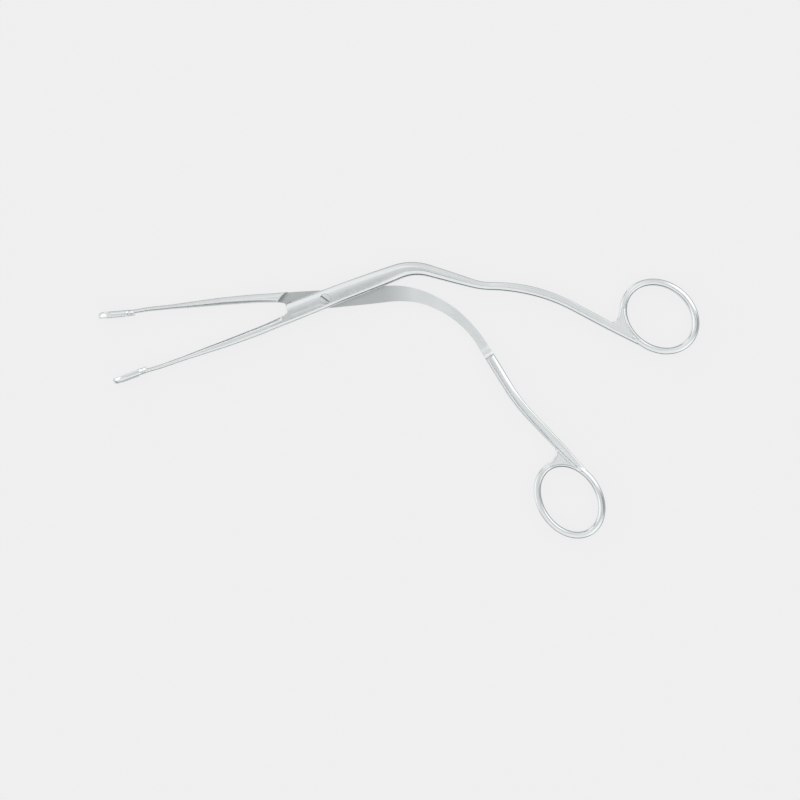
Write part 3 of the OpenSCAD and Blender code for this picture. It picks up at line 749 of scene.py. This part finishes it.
def steel(name, satin, polished, satin_reach, painted_shade, painted_shade_reach, slot_floor):
    """Stainless steel, satin as far as satin_reach from the pivot and polished beyond, with
    fine lengthwise grain, cloudy patches, faint scratches and rubbed arcs. Painted shade
    darkens the low faces near the pivot, such as the rear half's lap recess under the front
    plate, and the inside of a driver slot."""
    material = bpy.data.materials.new(name)
    material.use_nodes = True
    nodes, links = material.node_tree.nodes, material.node_tree.links
    shader = nodes["Principled BSDF"]
    shader.inputs["Metallic"].default_value = 1.0
    place = nodes.new("ShaderNodeTexCoord").outputs["Object"]
    mark = nodes.new("ShaderNodeAttribute")
    mark.attribute_name = "grain"

    def noise(source, scale, detail, stretch=(1, 1, 1)):
        mapping = nodes.new("ShaderNodeMapping")
        mapping.inputs["Scale"].default_value = stretch
        links.new(source, mapping.inputs["Vector"])
        texture = nodes.new("ShaderNodeTexNoise")
        texture.inputs["Scale"].default_value = scale
        texture.inputs["Detail"].default_value = detail
        links.new(mapping.outputs["Vector"], texture.inputs["Vector"])
        return texture.outputs["Fac"]

    def ranged(source, start, end, low, high):
        node = nodes.new("ShaderNodeMapRange")
        for key, value in zip(("From Min", "From Max", "To Min", "To Max"), (start, end, low, high)):
            node.inputs[key].default_value = value
        links.new(source, node.inputs["Value"])
        return node.outputs["Result"]

    def maths(kind, first, second):
        node = nodes.new("ShaderNodeMath")
        node.operation = kind
        links.new(first, node.inputs[0])
        links.new(second, node.inputs[1])
        return node.outputs[0]

    length = nodes.new("ShaderNodeVectorMath")
    length.operation = "LENGTH"
    links.new(place, length.inputs[0])
    from_pivot = length.outputs["Value"]
    cloud = noise(place, CLOUD_SCALE, CLOUD_DETAIL)
    grain = noise(mark.outputs["Vector"], GRAIN_SCALE, GRAIN_DETAIL, GRAIN_STRETCH)
    lines = noise(mark.outputs["Vector"], LINES_SCALE, LINES_DETAIL, LINES_STRETCH)
    scratch = noise(place, SCRATCH_SCALE, SCRATCH_DETAIL, SCRATCH_STRETCH)
    rub = nodes.new("ShaderNodeTexNoise")
    rub.noise_dimensions = "1D"
    rub.inputs["Scale"].default_value = RUB_SCALE
    links.new(from_pivot, rub.inputs["W"])

    start, end = satin_reach * MM, (satin_reach + SATIN_FADE) * MM
    roughness = ranged(from_pivot, start, end, satin, polished)
    for part, span, low, high in (
        (cloud, NOISE_SPAN, -CLOUD_ROUGH, CLOUD_ROUGH),
        (grain, NOISE_SPAN, -GRAIN_ROUGH, GRAIN_ROUGH),
        (scratch, SCRATCH_SPAN, 0.0, SCRATCH_ROUGH),
    ):
        roughness = maths("ADD", roughness, ranged(part, *span, low, high))
    rubbed = ranged(from_pivot, RUB_NEAR * MM, RUB_FAR * MM, RUB_ROUGH, 0.0)
    roughness = maths("ADD", roughness, maths("MULTIPLY", rub.outputs["Fac"], rubbed))
    links.new(roughness, shader.inputs["Roughness"])

    split = nodes.new("ShaderNodeSeparateXYZ")
    links.new(place, split.inputs[0])
    # Painted shade: faces near the pivot and low down, such as the lap recess under the other half's
    # plate, are darkened
    near = ranged(from_pivot, painted_shade_reach * MM, (painted_shade_reach + PAINTED_SHADE_FADE) * MM, 1.0, 0.0)
    low = ranged(split.outputs["Z"], PAINTED_SHADE_LOW * MM, PAINTED_SHADE_HIGH * MM, 1.0, 0.0)
    shade = ranged(maths("MULTIPLY", near, low), 0.0, 1.0, 1.0, painted_shade)
    shade = maths("MULTIPLY", shade, ranged(cloud, *NOISE_SPAN, CLOUD_SHADE, 1.0))
    shade = maths("MULTIPLY", shade, ranged(lines, *LINES_SPAN, LINES_SHADE, 1.0))
    # Painted shade: the screw's colour darkens from the head's top down to the slot floor, so the
    # slot looks dark inside
    if slot_floor is not None:
        bottom, top = slot_floor * MM, JOINT_T * MM
        dark = ranged(split.outputs["Z"], bottom, top, SLOT_SHADE, 1.0)
        shade = maths("MULTIPLY", shade, dark)
    colour = nodes.new("ShaderNodeMix")
    colour.data_type = "RGBA"
    colour.inputs[6].default_value = (0, 0, 0, 1)
    colour.inputs[7].default_value = (*TINT, 1)
    links.new(shade, colour.inputs[0])
    links.new(colour.outputs[2], shader.inputs["Base Color"])

    bump = nodes.new("ShaderNodeBump")
    bump.inputs["Strength"].default_value = BUMP_STRENGTH
    bump.inputs["Distance"].default_value = BUMP_DEPTH * MM
    links.new(maths("ADD", grain, scratch), bump.inputs["Height"])
    links.new(bump.outputs["Normal"], shader.inputs["Normal"])
    return material


def camera():
    """Straight above, framed as the photograph is."""
    data = bpy.data.cameras.new("camera")
    data.lens = LENS
    data.sensor_width = SENSOR
    data.clip_end = CLIP_END
    obj = bpy.data.objects.new("camera", data)
    bpy.context.scene.collection.objects.link(obj)
    height = MID_Z + VIEW_WIDTH * LENS / SENSOR
    obj.location = [MM * v for v in (*VIEW_CENTRE, height)]
    bpy.context.scene.camera = obj


def grey(value):
    return value, value, value, 1


def floor():
    """A pale floor whose colour is partly its own, so that shadows on it stay faint."""
    bpy.ops.mesh.primitive_plane_add(size=FLOOR_SIZE, location=(0, 0, 0))
    plane = bpy.context.object
    plane.name = "floor"
    material = bpy.data.materials.new("pale_floor")
    material.use_nodes = True
    nodes, links = material.node_tree.nodes, material.node_tree.links
    plain = nodes["Principled BSDF"]
    plain.inputs["Base Color"].default_value = grey(FLOOR_PAINT)
    plain.inputs["Roughness"].default_value = FLOOR_ROUGHNESS
    plain.inputs["Specular IOR Level"].default_value = 0.0
    own = nodes.new("ShaderNodeEmission")
    own.inputs["Color"].default_value = grey(FLOOR_OWN)
    path = nodes.new("ShaderNodeLightPath")
    seen = path.outputs["Is Camera Ray"]
    for key in ("Is Glossy Ray", "Is Transmission Ray"):
        larger = nodes.new("ShaderNodeMath")
        larger.operation = "MAXIMUM"
        links.new(seen, larger.inputs[0])
        links.new(path.outputs[key], larger.inputs[1])
        seen = larger.outputs[0]
    share = nodes.new("ShaderNodeMath")
    share.operation = "MULTIPLY"
    share.inputs[1].default_value = FLOOR_OWN_SHARE
    links.new(seen, share.inputs[0])
    mix = nodes.new("ShaderNodeMixShader")
    links.new(share.outputs[0], mix.inputs[0])
    links.new(plain.outputs[0], mix.inputs[1])
    links.new(own.outputs[0], mix.inputs[2])
    links.new(mix.outputs[0], nodes["Material Output"].inputs["Surface"])
    plane.data.materials.append(material)


def studio():
    """A white tent: grey straight above, where the camera looks in, and dark round its foot."""
    world = bpy.data.worlds.new("studio")
    bpy.context.scene.world = world
    world.use_nodes = True
    nodes, links = world.node_tree.nodes, world.node_tree.links
    direction = nodes.new("ShaderNodeTexCoord").outputs["Generated"]

    def patch(below, azimuth, elevation, inner, outer, value):
        """A round patch of another brightness in the given direction, sizes in degrees."""
        dot = nodes.new("ShaderNodeVectorMath")
        dot.operation = "DOT_PRODUCT"
        flat, up = math.cos(math.radians(elevation)), math.sin(math.radians(elevation))
        dot.inputs[1].default_value = (*(flat * ahead(azimuth)), up)
        links.new(direction, dot.inputs[0])
        mask = nodes.new("ShaderNodeMapRange")
        mask.interpolation_type = "SMOOTHSTEP"
        mask.inputs["From Min"].default_value = math.cos(math.radians(outer))
        mask.inputs["From Max"].default_value = math.cos(math.radians(inner))
        links.new(dot.outputs["Value"], mask.inputs["Value"])
        mix = nodes.new("ShaderNodeMix")
        mix.data_type = "RGBA"
        links.new(mask.outputs["Result"], mix.inputs[0])
        if below is None:
            mix.inputs[6].default_value = grey(TENT_FOOT)
        else:
            links.new(below, mix.inputs[6])
        mix.inputs[7].default_value = grey(value)
        return mix.outputs[2]

    colour = None
    for row in TENT_PATCHES:
        colour = patch(colour, *row)
    links.new(colour, nodes["Background"].inputs["Color"])
    nodes["Background"].inputs["Strength"].default_value = 1.0


camera()
floor()
studio()
bpy.context.scene.view_settings.view_transform = "Standard"

steels = {node: steel(*values) for node, values in STEELS.items()}
for make, body, slot in (
    (front_half, "front_branch", "front_steel"),
    (rear_half, "rear_branch", "rear_steel"),
    (pivot_screw, "rear_branch", "screw_steel"),
):
    piece = make()
    select_only(piece)
    bpy.ops.object.shade_smooth_by_angle(angle=math.radians(SMOOTH_ANGLE))
    piece.data.materials.clear()
    piece.data.materials.append(steels[make.__name__])
    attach(piece, body)
    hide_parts(make.__name__)
